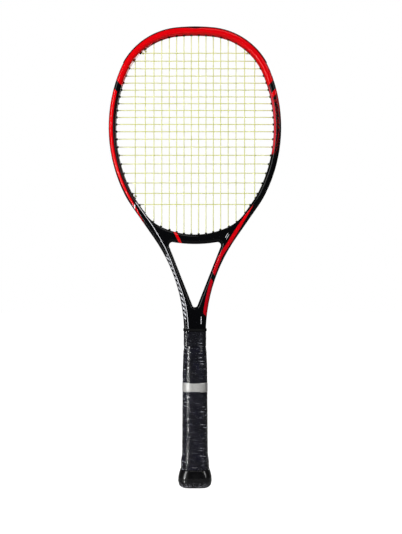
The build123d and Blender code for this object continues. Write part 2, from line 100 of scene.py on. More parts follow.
def new_material(name):
    """An empty node material and its main shader."""
    material = bpy.data.materials.new(name)
    material.use_nodes = True
    return material, material.node_tree.nodes["Principled BSDF"]


floor_mesh = bpy.data.meshes.new("studio_floor")
floor_corners = [(FLOOR_HALF * x, FLOOR_HALF * y, 0) for x, y in ((-1, -1), (1, -1), (1, 1), (-1, 1))]
floor_mesh.from_pydata(floor_corners, [], [(0, 1, 2, 3)])
floor = bpy.data.objects.new("studio_floor", floor_mesh)
scene.collection.objects.link(floor)
floor_paint, floor_shader = new_material("floor_paper")
floor_shader.inputs["Base Color"].default_value = (FLOOR_GREY, FLOOR_GREY, FLOOR_GREY, 1)
floor_shader.inputs["Roughness"].default_value = 0.9
floor_shader.inputs["Emission Color"].default_value = (1, 1, 1, 1)
floor_sight = floor_paint.node_tree.nodes.new("ShaderNodeLightPath")
floor_glow = floor_shader.inputs["Emission Strength"]
floor_paint.node_tree.links.new(floor_sight.outputs["Is Camera Ray"], floor_glow)
floor_mesh.materials.append(floor_paint)


# ---- Frame: hoop, arms, shaft and throat bridge ----------------------------------------------
# One carbon tube bent into a hairpin, with a bridge bonded across it. Primer, colour panels and
# white pinstripes lie under a thick clear coat.
class Nodes:
    """Shorthand for a material's node tree: each method adds one node and returns its output."""

    def __init__(self, material):
        self.tree = material.node_tree

    def put(self, socket, value):
        if isinstance(value, bpy.types.NodeSocket):
            self.tree.links.new(value, socket)
        else:
            socket.default_value = value

    def math(self, operation, first, second=0.0, third=0.0, clamp=False):
        node = self.tree.nodes.new("ShaderNodeMath")
        node.operation = operation
        node.use_clamp = clamp
        for socket, value in zip(node.inputs, (first, second, third)):
            self.put(socket, value)
        return node.outputs[0]

    def place(self):
        return self.tree.nodes.new("ShaderNodeTexCoord").outputs["Object"]

    def parts(self, vector):
        node = self.tree.nodes.new("ShaderNodeSeparateXYZ")
        self.put(node.inputs[0], vector)
        return node.outputs

    def vector(self, x, y, z):
        node = self.tree.nodes.new("ShaderNodeCombineXYZ")
        for socket, value in zip(node.inputs, (x, y, z)):
            self.put(socket, value)
        return node.outputs[0]

    def noise(self, vector, scale, detail=2.0, roughness=0.5, distortion=0.0):
        node = self.tree.nodes.new("ShaderNodeTexNoise")
        self.put(node.inputs["Vector"], vector)
        node.inputs["Scale"].default_value = scale
        node.inputs["Detail"].default_value = detail
        node.inputs["Roughness"].default_value = roughness
        node.inputs["Distortion"].default_value = distortion
        return node.outputs["Fac"]

    def cells(self, vector, scale):
        node = self.tree.nodes.new("ShaderNodeTexVoronoi")
        self.put(node.inputs["Vector"], vector)
        node.inputs["Scale"].default_value = scale
        return node.outputs["Distance"]

    def fade(self, value, low, high, start=0.0, end=1.0):
        node = self.tree.nodes.new("ShaderNodeMapRange")
        node.interpolation_type = "SMOOTHSTEP"
        self.put(node.inputs["Value"], value)
        for name, number in (("From Min", low), ("From Max", high), ("To Min", start), ("To Max", end)):
            node.inputs[name].default_value = number
        return node.outputs[0]

    def curve(self, value, points):
        """A curve through the given (height, reading) points, both in the value's own units."""
        low, high = points[0][0], points[-1][0]
        span = max(reading for _, reading in points)
        node = self.tree.nodes.new("ShaderNodeFloatCurve")
        line = node.mapping.curves[0]
        while len(line.points) < len(points):
            line.points.new(0.5, 0.5)
        for dot, (height, reading) in zip(line.points, points):
            dot.location = ((height - low) / (high - low), reading / span)
            dot.handle_type = "VECTOR"
        node.mapping.update()
        scaled = self.math("DIVIDE", self.math("SUBTRACT", value, low), high - low, clamp=True)
        self.put(node.inputs["Value"], scaled)
        return self.math("MULTIPLY", node.outputs[0], span)

    def between(self, value, low, high, soft=0.15):
        """1 where low < value < high, with soft edges; low and high may be outputs too."""
        above = self.math("DIVIDE", self.math("SUBTRACT", value, low), soft, clamp=True)
        below = self.math("DIVIDE", self.math("SUBTRACT", high, value), soft, clamp=True)
        return self.math("MULTIPLY", above, below)

    def either(self, first, second):
        return self.math("MAXIMUM", first, second)

    def both(self, first, *others):
        """The product of 0 to 1 readings: 1 only where every one of them is."""
        for other in others:
            first = self.math("MULTIPLY", first, other)
        return first

    def leaning(self, value, other, slope):
        """value + slope * other, a reading whose level lines lean."""
        return self.math("MULTIPLY_ADD", other, slope, value)

    def stretched(self, vector, x_share, y_share, z_share):
        """A place with its axes squeezed by shares, which draws a pattern out along them."""
        node = self.tree.nodes.new("ShaderNodeVectorMath")
        node.operation = "MULTIPLY"
        self.put(node.inputs[0], vector)
        node.inputs[1].default_value = (x_share, y_share, z_share)
        return node.outputs[0]

    def mix(self, factor, under, over):
        node = self.tree.nodes.new("ShaderNodeMix")
        node.data_type = "RGBA"
        self.put(node.inputs["Factor"], factor)
        self.put(node.inputs["A"], under)
        self.put(node.inputs["B"], over)
        return node.outputs["Result"]

    def bump(self, height, strength, distance):
        node = self.tree.nodes.new("ShaderNodeBump")
        node.inputs["Strength"].default_value = strength
        node.inputs["Distance"].default_value = distance
        self.put(node.inputs["Height"], height)
        return node.outputs["Normal"]


def rgb(red, green, blue):
    """A colour as an eye reads it on a screen, 0 to 255, as the shader's linear values."""
    def linear(level):
        share = level / 255
        return share / 12.92 if share <= 0.04045 else ((share + 0.055) / 1.055) ** 2.4
    return (linear(red), linear(green), linear(blue), 1.0)


# The hoop's outer face: tangent arcs from the crown, as (radius, degrees turned), in millimetres.
HOOP_ARCS = ((274.0, 5.7), (102.3, 61.8), (222.6, 49.0), (132.0, 8.4))
_, frame_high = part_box("hairpin_frame")
CROWN_HEIGHT = frame_high.z / MM
ARM_RADIUS = 250.0
SHAFT_HALF_WIDTH = 16.2
TUBE_WIDTH = 10.6


def outward(heading):
    """The way out from an arc's centre, at a heading turned from straight up."""
    return Vector((math.sin(heading), math.cos(heading)))


hoop_arcs = []
heading, point = 0.0, Vector((0.0, CROWN_HEIGHT))
for arc_radius, turned in HOOP_ARCS:
    centre = point - outward(heading) * arc_radius
    heading += math.radians(turned)
    point = centre + outward(heading) * arc_radius
    hoop_arcs.append((centre, arc_radius, point.y))
cheek_end = point
arm_way = Vector((math.cos(heading), -math.sin(heading)))
reach = (cheek_end.x - SHAFT_HALF_WIDTH) / -arm_way.x
corner = cheek_end + arm_way * reach
arm_tangent = ARM_RADIUS * math.tan((heading - math.pi / 2) / 2)
arm_start = corner - arm_way * arm_tangent
arm_end = Vector((SHAFT_HALF_WIDTH, corner.y - arm_tangent))
arm_centre = Vector((SHAFT_HALF_WIDTH + ARM_RADIUS, arm_end.y))


def pick(nodes, z, limit, above, below):
    """One reading above a height and another below it."""
    share = nodes.math("GREATER_THAN", z, limit)
    rise = nodes.math("SUBTRACT", above, below)
    return nodes.math("MULTIPLY_ADD", rise, share, below)


def edge_depth(nodes, x, z):
    """Distance in from the frame's outer edge, in millimetres, read from the arcs it is made of."""
    across = nodes.math("ABSOLUTE", x)

    def from_centre(centre):
        aside = nodes.math("SUBTRACT", across, centre.x)
        up = nodes.math("SUBTRACT", z, centre.y)
        square = nodes.math("ADD", nodes.math("MULTIPLY", aside, aside), nodes.math("MULTIPLY", up, up))
        return nodes.math("SQRT", square)

    depth = nodes.math("SUBTRACT", SHAFT_HALF_WIDTH, across)
    on_arm = nodes.math("SUBTRACT", from_centre(arm_centre), ARM_RADIUS)
    depth = pick(nodes, z, arm_end.y, on_arm, depth)
    run_normal = Vector((arm_way.y, -arm_way.x))
    along_x = nodes.math("MULTIPLY", across, run_normal.x)
    on_run = nodes.math("ADD", nodes.math("MULTIPLY", z, run_normal.y), along_x)
    on_run = nodes.math("ABSOLUTE", nodes.math("SUBTRACT", on_run, run_normal.dot(cheek_end)))
    depth = pick(nodes, z, arm_start.y, on_run, depth)
    for centre, arc_radius, low_end in reversed(hoop_arcs):
        on_arc = nodes.math("SUBTRACT", arc_radius, from_centre(centre))
        depth = pick(nodes, z, low_end, on_arc, depth)
    return depth


BLACK = rgb(6, 6, 8)
RED = rgb(220, 1, 10)
DEEP_RED = rgb(150, 4, 16)
STRIPE_RED = rgb(184, 2, 20)
INNER_RED = rgb(205, 62, 74)
MAROON = rgb(46, 8, 14)
WHITE = rgb(225, 226, 230)
SILVER = rgb(196, 198, 204)

# The artwork's heights, and its depths in from the outer edge, in millimetres.
ALL_HEIGHT = 900.0
ALL_DEPTH = 99.0
SLASH_LEAN = 0.9
CROWN_FOOT = 606.0
BAND_TOP = 594.0
BAND_FOOT = 390.0
MAROON_FOOT = 424.0
FLECK_FOOT = 494.0
STRIPE_FOOT = 250.0
STRIPE_TIP = 421.0
PIN_FOOT = 200.0
PIN_TOP = 424.0
TICK_PITCH = 7.4
TICKS_TOP = 346.0

frame_paint, frame_shader = new_material("frame_paint")
n = Nodes(frame_paint)
place = n.place()
x, y, z = (n.math("MULTIPLY", metres, 1 / MM) for metres in n.parts(place))
d = edge_depth(n, x, z)
right = n.math("GREATER_THAN", x, 0.0)
left = n.math("SUBTRACT", 1.0, right)

# Red crown down to a black slash on both sides.
slash_height = n.leaning(z, d, SLASH_LEAN)
crown = n.between(slash_height, CROWN_FOOT, ALL_HEIGHT, soft=0.5)
crown = n.both(crown, n.between(d, 1.1, ALL_DEPTH))
colour = n.mix(crown, BLACK, RED)

# Left side: a red outer band over a maroon inner one, tapering out to the edge at the cheek.
below_slash = n.between(slash_height, 300.0, BAND_TOP, soft=0.5)
outer_edge = n.curve(z, [(BAND_FOOT, 0.2), (430, 2.6), (500, 1.2), (600, 0.8)])
inner_edge = n.curve(z, [(BAND_FOOT, 0.3), (412, 4.0), (430, 6.0), (500, 6.2), (600, 6.6)])
band_run = n.between(z, BAND_FOOT, ALL_HEIGHT)
side_band = n.both(left, below_slash, band_run, n.between(d, outer_edge, inner_edge))
colour = n.mix(side_band, colour, RED)
maroon_run = n.between(z, MAROON_FOOT, ALL_HEIGHT, soft=6.0)
inside_band = n.between(d, n.math("ADD", inner_edge, 0.3), ALL_DEPTH)
mottled = n.fade(n.noise(place, scale=220.0, detail=3.0), 0.35, 0.7, 0.35, 1.0)
colour = n.mix(n.both(left, below_slash, maroon_run, inside_band, mottled), colour, MAROON)
flash_run = n.between(n.leaning(z, d, -1.6), 411.0, 413.5)
colour = n.mix(n.both(left, flash_run, n.between(d, 1.2, 5.0)), colour, WHITE)

# Right side: a red outline with black and red flecks inside it, then bare black.
fleck_zone = n.both(right, below_slash, n.between(z, FLECK_FOOT, ALL_HEIGHT, soft=5.0))
fleck_place = n.vector(n.math("MULTIPLY", x, 3.0), y, z)
flecks = n.math("GREATER_THAN", n.noise(fleck_place, scale=0.34, detail=4.0, roughness=0.7), 0.56)
colour = n.mix(n.both(fleck_zone, flecks, n.between(d, 2.6, 8.0)), colour, DEEP_RED)
outer_line = n.both(n.between(d, 1.2, 2.4), n.fade(z, 535.0, 570.0))
rim_lines = n.either(outer_line, n.between(d, 8.2, ALL_DEPTH))
rim_lines = n.either(rim_lines, n.between(slash_height, 587.0, BAND_TOP))
colour = n.mix(n.both(fleck_zone, rim_lines), colour, RED)
inner_face = n.math("GREATER_THAN", d, TUBE_WIDTH - 1.5)
inner_wall = n.both(right, n.between(z, FLECK_FOOT, 600.0, soft=8.0), inner_face)
colour = n.mix(inner_wall, colour, INNER_RED)

# Right arm: a red stripe that starts as a point at the cheek, with one black gap.
stripe_low = n.curve(z, [
    (256, 0.3), (289, 0.8), (309, 1.9), (322, 2.1), (343, 3.3), (364, 1.6), (388, 3.6), (404, 5.0),
    (STRIPE_TIP, 7.0),
])
stripe_wide = n.curve(z, [
    (256, 5.6), (289, 5.2), (309, 4.3), (322, 5.0), (343, 5.6), (364, 5.6), (388, 5.0), (404, 3.6),
    (STRIPE_TIP, 0.0),
])
stripe = n.between(d, stripe_low, n.math("ADD", stripe_low, stripe_wide))
lean = n.leaning(z, d, -1.1)
stripe_run = n.either(n.between(lean, 253.0, 304.0, soft=0.3), n.between(lean, 312.0, 500.0, soft=0.3))
stripe = n.both(stripe, stripe_run, right, n.between(z, STRIPE_FOOT, STRIPE_TIP))
colour = n.mix(stripe, colour, n.mix(n.fade(z, 300.0, 430.0), STRIPE_RED, RED))

# Left arm: a white pinstripe down to the collar, with a row of plain slanted ticks outside it.
pin_line = n.curve(z, [
    (236, 6.4), (271, 6.2), (287, 5.4), (305, 3.9), (320, 3.6), (342, 5.3), (390, 8.8), (PIN_TOP, 8.2),
])
pin_half = n.curve(z, [(236, 0.45), (342, 0.4), (PIN_TOP, 0.55)])
pin = n.between(d, n.math("SUBTRACT", pin_line, pin_half), n.math("ADD", pin_line, pin_half), soft=0.12)
pin = n.both(pin, left, n.between(z, PIN_FOOT, PIN_TOP))
tick_phase = n.math("FRACT", n.math("DIVIDE", n.leaning(z, d, 1.2), TICK_PITCH))
tick_depth = n.between(d, 0.8, n.math("SUBTRACT", pin_line, 1.1))
ticks = n.both(n.between(tick_phase, 0.08, 0.62, soft=0.08), tick_depth, left)
worn = n.fade(n.noise(place, scale=330.0), 0.2, 0.42)
ticks = n.both(ticks, n.between(z, STRIPE_FOOT, TICKS_TOP), worn)
colour = n.mix(n.both(ticks, 0.9), colour, SILVER)
colour = n.mix(pin, colour, WHITE)

# Bridge and shaft: one red slash, one pair of small white ticks and one upright tick.
slash = n.leaning(x, n.math("SUBTRACT", 379.5, z), -0.5)
slash = n.both(n.between(slash, -31.8, -27.4), n.between(z, 361.0, 384.0))
colour = n.mix(slash, colour, RED)
tick = n.leaning(x, n.math("SUBTRACT", z, 374.0), -0.55)
inner_tick = n.both(n.between(tick, 46.2, 47.3), n.between(z, 371.0, 378.0))
outer_tick = n.both(n.between(tick, 49.0, 49.8), n.between(z, 369.0, 376.0))
shaft_tick = n.both(n.between(x, 8.6, 9.8), n.between(z, 243.0, 254.0))
small_ticks = n.either(n.either(inner_tick, outer_tick), shaft_tick)
colour = n.mix(n.both(small_ticks, 0.85), colour, WHITE)

flake = n.noise(place, scale=2600.0, detail=1.0)
colour = n.mix(n.fade(flake, 0.62, 0.8, 0.0, 0.008), colour, WHITE)
n.put(frame_shader.inputs["Base Color"], colour)
smears = n.noise(place, scale=60.0, detail=3.0)
n.put(frame_shader.inputs["Roughness"], n.fade(smears, 0.3, 0.7, 0.3, 0.42))
frame_shader.inputs["Coat Weight"].default_value = 0.45
frame_shader.inputs["Coat IOR"].default_value = 1.4
frame_shader.inputs["Coat Roughness"].default_value = 0.11
frame_shader.inputs["Specular IOR Level"].default_value = 0.0
ripple = n.noise(place, scale=420.0, detail=2.0)
n.put(frame_shader.inputs["Normal"], n.bump(ripple, strength=0.05, distance=0.0004))


def finish(node, material):
    """Give a CAD node its finish."""
    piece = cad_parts[node]
    piece.data.materials.clear()
    piece.data.materials.append(material)


for node in ("hairpin_frame", "throat_bridge"):
    finish(node, frame_paint)


# ---- Strings ---------------------------------------------------------------------------------
# Two lengths of smooth monofilament, woven over and under each other. Each runs back and forth
# through the frame and is held by its own tension and the knots at its ends.
STRING_RADIUS = 0.635 * MM
WEAVE_HEIGHT = 1.32 * MM
STEPS_BETWEEN = 4
MOUTH_MARGIN = 4 * MM
WELD = 1e-7
STRAIGHT_TO = 0.02 * MM
RUN_BUCKET = 2
SHORTEST_MAIN = 150 * MM
SHORTEST_CROSS = 100 * MM
X_AXIS, Z_AXIS = 0, 2

string_paint, string_shader = new_material("string_monofilament")
n = Nodes(string_paint)
place = n.place()
faded = n.fade(n.noise(place, scale=55.0), 0.3, 0.7)
tone = n.mix(faded, rgb(216, 219, 118), rgb(230, 232, 154))
n.put(string_shader.inputs["Base Color"], tone)
ripple = n.noise(place, scale=1500.0)
n.put(string_shader.inputs["Normal"], n.bump(ripple, strength=0.15, distance=0.00005))
n.put(string_shader.inputs["Roughness"], n.fade(n.noise(place, scale=300.0), 0.3, 0.7, 0.26, 0.4))
string_shader.inputs["Subsurface Weight"].default_value = 0.15
string_shader.inputs["Subsurface Radius"].default_value = (0.0006, 0.0006, 0.0003)


def bare_mesh(node):
    """A welded copy of a CAD node's mesh, ready to be cut and bent."""
    copy = bmesh.new()
    copy.from_mesh(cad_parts[node].data)
    bmesh.ops.remove_doubles(copy, verts=copy.verts, dist=WELD)
    return copy


def runs_of(shape, along, across, shortest):
    """The straight runs of a string: where each one lies across, and how far it reaches along."""
    marks = {}
    for edge in shape.edges:
        first, second = (vertex.co for vertex in edge.verts)
        long_enough = abs(first[along] - second[along]) > shortest
        if long_enough and abs(first[across] - second[across]) < STRAIGHT_TO:
            middle = (first[across] + second[across]) / 2
            ends = sorted((first[along], second[along]))
            marks.setdefault(round(middle / MM / RUN_BUCKET), []).append((middle, *ends))
    rows = []
    for key in sorted(marks):
        if rows and key - rows[-1][0] == 1:
            rows[-1] = (key, rows[-1][1] + marks[key])
        else:
            rows.append((key, marks[key]))
    runs = []
    for _, found in rows:
        middles, lows, highs = zip(*found)
        runs.append((sum(middles) / len(middles), min(lows), max(highs)))
    return runs


main_shape, cross_shape = bare_mesh("main_string"), bare_mesh("cross_string")
main_runs = runs_of(main_shape, Z_AXIS, X_AXIS, SHORTEST_MAIN)
cross_runs = runs_of(cross_shape, X_AXIS, Z_AXIS, SHORTEST_CROSS)


def weave(name, node, shape, runs, others, along, across, side):
    """One string with its runs bent over and under the other string's: side is the way it bends."""
    places = [spot for spot, _, _ in others]
    cuts = [first + (second - first) * step / STEPS_BETWEEN
            for first, second in zip(places, places[1:]) for step in range(STEPS_BETWEEN)]
    gap = places[1] - places[0]
    cuts += [places[0] - gap * step / STEPS_BETWEEN for step in range(1, STEPS_BETWEEN + 1)]
    cuts += [places[-1] + gap * step / STEPS_BETWEEN for step in range(STEPS_BETWEEN + 1)]
    direction = Vector((0, 0, 0))
    direction[along] = 1.0
    for cut in cuts:
        everything = shape.verts[:] + shape.edges[:] + shape.faces[:]
        middle = direction * cut
        bmesh.ops.bisect_plane(shape, geom=everything, dist=WELD, plane_co=middle, plane_no=direction)
    for vertex in shape.verts:
        number, run = min(enumerate(runs), key=lambda item: abs(item[1][0] - vertex.co[across]))
        middle, low, high = run
        if abs(vertex.co[across] - middle) > 2 * STRING_RADIUS or not low < vertex.co[along] < high:
            continue
        stops = [(low, 0.0)]
        for other, (spot, other_low, other_high) in enumerate(others):
            if low + MOUTH_MARGIN < spot < high - MOUTH_MARGIN and other_low < middle < other_high:
                stops.append((spot, WEAVE_HEIGHT * ((number + other) % 2)))
        stops.append((high, 0.0))
        for (before, here), (after, there) in zip(stops, stops[1:]):
            if before <= vertex.co[along] <= after:
                share = (vertex.co[along] - before) / (after - before)
                vertex.co.y += side * (here + (there - here) * (1 - math.cos(math.pi * share)) / 2)
                break
    mesh = bpy.data.meshes.new(name)
    shape.to_mesh(mesh)
    shape.free()
    mesh.shade_smooth()
    mesh.materials.clear()
    mesh.materials.append(string_paint)
    piece = bpy.data.objects.new(name, mesh)
    scene.collection.objects.link(piece)
    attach(piece, "racket")
    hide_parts(node)


weave("woven_main_string", "main_string", main_shape, main_runs, cross_runs, Z_AXIS, X_AXIS, 1)
weave("woven_cross_string", "cross_string", cross_shape, cross_runs, main_runs, X_AXIS, Z_AXIS, -1)

# ---- Tie-off knots ---------------------------------------------------------------------------
# Each string end is tied off against a grommet with a tight double half hitch, trimmed short.
KNOT_TURN = 0.95 * MM
KNOT_SPREAD = 0.55
KNOT_LOOPS = 1.15
KNOT_RISE = 0.8
KNOT_STEPS = 72
KNOT_SIDES = 12
KNOT_TUBE = 0.6 * MM
TAIL_START = 0.6 * MM
TAIL_STEP = 0.5 * MM
TAIL_LEAN = Vector((0, -0.15 * MM, 0))
TAIL_SLOPE = 0.4


def islands(node):
    """The middle of each separate solid in a CAD node, in the order of its vertices."""
    shape = bare_mesh(node)
    seen = set()
    middles = []
    for first in shape.verts:
        if first in seen:
            continue
        seen.add(first)
        group = [first]
        for vertex in group:
            for edge in vertex.link_edges:
                near = edge.other_vert(vertex)
                if near not in seen:
                    seen.add(near)
                    group.append(near)
        middles.append(sum((vertex.co for vertex in group), Vector()) / len(group))
    shape.free()
    return middles


def knot_line(share):
    """A point on the hitch's closed line, round its middle."""
    angle = 2 * math.pi * share
    return Vector((
        (math.sin(angle) + KNOT_LOOPS * math.sin(2 * angle)) * KNOT_SPREAD,
        (math.cos(angle) - KNOT_LOOPS * math.cos(2 * angle)) * KNOT_SPREAD,
        -KNOT_RISE * math.sin(3 * angle),
    )) * KNOT_TURN


def wall(rows, columns, closed=False):
    """The faces between rings of vertices. A closed wall also joins its last ring to its first."""
    faces = []
    for row in range(rows if closed else rows - 1):
        above = (row + 1) % rows
        for column in range(columns):
            beside = (column + 1) % columns
            low = (row * columns + column, row * columns + beside)
            high = (above * columns + beside, above * columns + column)
            faces.append(low + high)
    return faces


def tube(points, radius, sides, closed):
    """A tube along a line of points, as vertices and faces. An open one has flat ends."""
    count = len(points)
    vertices = []
    lean = Vector((0.3, 0.5, 0.8))
    for number, point in enumerate(points):
        ahead = points[(number + 1) % count] if closed or number < count - 1 else point
        behind = points[number - 1] if closed or number else point
        run = (ahead - behind).normalized()
        lean = (lean - run * lean.dot(run)).normalized()
        across = run.cross(lean)
        for side in range(sides):
            angle = 2 * math.pi * side / sides
            vertices.append(point + (lean * math.cos(angle) + across * math.sin(angle)) * radius)
    faces = wall(count, sides, closed)
    if not closed:
        faces.append(tuple(range(sides)))
        faces.append(tuple(len(vertices) - 1 - side for side in range(sides)))
    return vertices, faces


knot_vertices, knot_faces = [], []
for middle in islands("tie_off_knots"):
    inward = Vector((-middle.x, 0, -TAIL_SLOPE * abs(middle.x))).normalized()
    hitch = [middle + knot_line(step / KNOT_STEPS) for step in range(KNOT_STEPS)]
    tail = [middle + inward * (TAIL_START + step * TAIL_STEP) + TAIL_LEAN * step for step in range(4)]
    for line, closed in ((hitch, True), (tail, False)):
        vertices, faces = tube(line, KNOT_TUBE, KNOT_SIDES, closed)
        base = len(knot_vertices)
        knot_faces += [tuple(base + corner for corner in face) for face in faces]
        knot_vertices += vertices


def new_piece(name, vertices, faces, material, body, slot_name, *replaced):
    """A new piece made of faces, with its finish, its body and the CAD nodes that it stands for."""
    mesh = bpy.data.meshes.new(name)
    mesh.from_pydata(vertices, [], faces)
    mesh.validate()
    shape = bmesh.new()
    shape.from_mesh(mesh)
    bmesh.ops.recalc_face_normals(shape, faces=shape.faces)
    shape.to_mesh(mesh)
    shape.free()
    mesh.shade_smooth()
    mesh.materials.append(material)
    piece = bpy.data.objects.new(name, mesh)
    scene.collection.objects.link(piece)
    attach(piece, body)
    if replaced:
        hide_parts(*replaced)
    return piece


new_piece("string_knots", knot_vertices, knot_faces, string_paint, "racket", "string_poly", "tie_off_knots")

# ---- Bumper and grommet strips -----------------------------------------------------------------
# Black nylon, injection moulded: a guard over the crown and strips of barrels that line the
# holes. They snap into the hoop's groove; the guard is scuffed where it meets the court.
nylon, nylon_shader = new_material("grommet_nylon")
n = Nodes(nylon)
place = n.place()
scratches = n.noise(n.stretched(place, 0.25, 1.0, 1.0), scale=900.0, detail=4.0, roughness=0.7)
near_crown = n.fade(n.parts(place)[2], 0.655, 0.684, 0.0, 0.5)
scuffed = n.both(n.math("GREATER_THAN", scratches, 0.62), near_crown)
n.put(nylon_shader.inputs["Base Color"], n.mix(scuffed, rgb(9, 9, 10), rgb(70, 66, 66)))
nylon_shader.inputs["Specular IOR Level"].default_value = 0.2
satin = n.fade(n.noise(place, scale=150.0), 0.3, 0.7, 0.38, 0.55)
n.put(nylon_shader.inputs["Roughness"], satin)
grain = n.noise(place, scale=2200.0)
n.put(nylon_shader.inputs["Normal"], n.bump(grain, strength=0.25, distance=0.0001))
finish("bumper_guard", nylon)
finish("bridge_grommet", nylon)
for hand in ("left", "right"):
    finish("grommet_strip_" + hand, nylon)
    finish("lower_grommet_" + hand, nylon)

# ---- Pallet ------------------------------------------------------------------------------------
# Hard polyurethane foam, moulded round the two legs of the hairpin to give the handle its octagon.
foam, foam_shader = new_material("pallet_foam")
n = Nodes(foam)
place = n.place()
pores = n.cells(place, 1400.0)
# Painted shade: the foam is darker in the pits of its pores, the same spots where the bump sinks.
pore_shaded_tone = n.mix(n.fade(pores, 0.1, 0.4), rgb(60, 58, 56), rgb(98, 96, 92))
n.put(foam_shader.inputs["Base Color"], pore_shaded_tone)
n.put(foam_shader.inputs["Normal"], n.bump(pores, strength=0.4, distance=0.0002))
foam_shader.inputs["Roughness"].default_value = 0.85
finish("handle_pallet", foam)

# ---- Butt cap ------------------------------------------------------------------------------------
# A flared cap of black plastic, pushed over the end of the pallet and stapled there. Its corners
# are rounded, and a raised line runs round above the foot where the two mould halves met.
HANDLE_COLUMNS = 144
PROBE_REACH = 0.08
PROBE_NUDGES = (0.0, 0.02 * MM, -0.02 * MM, 0.2 * MM, -0.2 * MM, 1.0 * MM, -1.0 * MM)
CAP_CORNER_SOFTNESS = 7
CAP_FOOT_ROUND = 2.4 * MM
CAP_ROW = 0.8 * MM
SEAM_HEIGHT = 8.5 * MM
SEAM_WAVE = 2.2 * MM
SEAM_WIDTH = 0.7 * MM
SEAM_PROUD = 0.22 * MM
BADGE_RECESS = 1.2 * MM


def column_angle(column):
    """Where a column of the handle's skin stands round its axis."""
    return 2 * math.pi * column / HANDLE_COLUMNS


def rounded_reach(node, heights, softness):
    """How far a CAD node's outside stands from the handle's axis, ring by ring, its corners eased."""
    shape = bare_mesh(node)
    tree = BVHTree.FromBMesh(shape)
    rings = []
    for height in heights:
        ring = []
        for column in range(HANDLE_COLUMNS):
            angle = column_angle(column)
            away = Vector((math.cos(angle), math.sin(angle), 0))
            start = Vector((0, 0, height)) + away * PROBE_REACH
            hits = (tree.ray_cast(start + Vector((0, 0, nudge)), -away)[0] for nudge in PROBE_NUDGES)
            ring.append(next(hit.xy.length for hit in hits if hit))
        eased = []
        for column in range(HANDLE_COLUMNS):
            near = [ring[(column + step) % HANDLE_COLUMNS] for step in range(-softness, softness + 1)]
            eased.append(sum(near) / len(near))
        rings.append(eased)
    shape.free()
    return rings


def skin(heights, rings):
    """A wall of faces round the handle's axis through the rings, as vertices and faces."""
    vertices = []
    for height, ring in zip(heights, rings):
        for column, reach in enumerate(ring):
            angle = column_angle(column)
            vertices.append((reach * math.cos(angle), reach * math.sin(angle), height))
    return vertices, wall(len(heights), HANDLE_COLUMNS)


def spread(low, high, step):
    """Heights from low to high, about a step apart."""
    count = max(2, round((high - low) / step))
    return [low + (high - low) * number / count for number in range(count + 1)]


cap_low, cap_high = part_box("butt_cap")
badge_low, badge_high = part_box("butt_cap_badge")
badge_radius = (badge_high.x - badge_low.x) / 2
cap_heights = spread(cap_low.z + 0.3 * MM, cap_high.z - 0.05 * MM, CAP_ROW)
cap_rings = rounded_reach("butt_cap", cap_heights, CAP_CORNER_SOFTNESS)
for height, ring in zip(cap_heights, cap_rings):
    rise = height - cap_low.z
    below_round = max(0.0, CAP_FOOT_ROUND - rise)
    tuck = CAP_FOOT_ROUND - math.sqrt(max(0.0, CAP_FOOT_ROUND ** 2 - below_round ** 2))
    for column, reach in enumerate(ring):
        seam = (rise - SEAM_HEIGHT + SEAM_WAVE * math.cos(column_angle(column))) / SEAM_WIDTH
        ring[column] = reach - tuck + SEAM_PROUD * math.exp(-seam * seam)

# The foot, from the middle of the recess out past the badge to the rounded edge.
recess_edge = badge_radius + 0.35 * MM
foot_rows = [
    (cap_low.z + BADGE_RECESS + 0.05 * MM, [0.2 * MM] * HANDLE_COLUMNS),
    (cap_low.z + BADGE_RECESS, [badge_radius + 0.2 * MM] * HANDLE_COLUMNS),
]
for share in (0.0, 0.25, 0.5, 0.75):
    foot_ring = [recess_edge + (reach - recess_edge - 0.6 * MM) * share for reach in cap_rings[0]]
    foot_rows.append((cap_low.z + 0.02 * MM, foot_ring))
foot_heights, foot_rings = zip(*foot_rows)
vertices, faces = skin([*foot_heights, *cap_heights], [*foot_rings, *cap_rings])

cap_plastic, cap_shader = new_material("cap_plastic")
n = Nodes(cap_plastic)
place = n.place()
# Painted highlights: pale bluish streaks that fade in towards the foot stand in for light reflected on the
# glossy plastic there. The same streaks shape its bump.
foot_streak_place = n.stretched(place, 1.0, 1.0, 3.0)
foot_streaks = n.noise(foot_streak_place, scale=260.0, detail=5.0, roughness=0.75, distortion=0.6)
near_foot = n.fade(n.parts(place)[2], 0.003, 0.011, 0.9, 0.0)
foot_sheen = n.both(n.fade(foot_streaks, 0.50, 0.62), near_foot)
n.put(cap_shader.inputs["Base Color"], n.mix(foot_sheen, rgb(6, 6, 8), rgb(178, 178, 186)))
cap_shader.inputs["Specular IOR Level"].default_value = 0.12
handled = n.fade(n.noise(place, scale=90.0, detail=3.0), 0.3, 0.7, 0.2, 0.38)
n.put(cap_shader.inputs["Roughness"], handled)
n.put(cap_shader.inputs["Normal"], n.bump(foot_streaks, strength=0.35, distance=0.0003))
cap_shader.inputs["Coat Weight"].default_value = 0.6
cap_shader.inputs["Coat Roughness"].default_value = 0.1
new_piece("butt_cap_shell", vertices, faces, cap_plastic, "racket", "cap_plastic", "butt_cap")

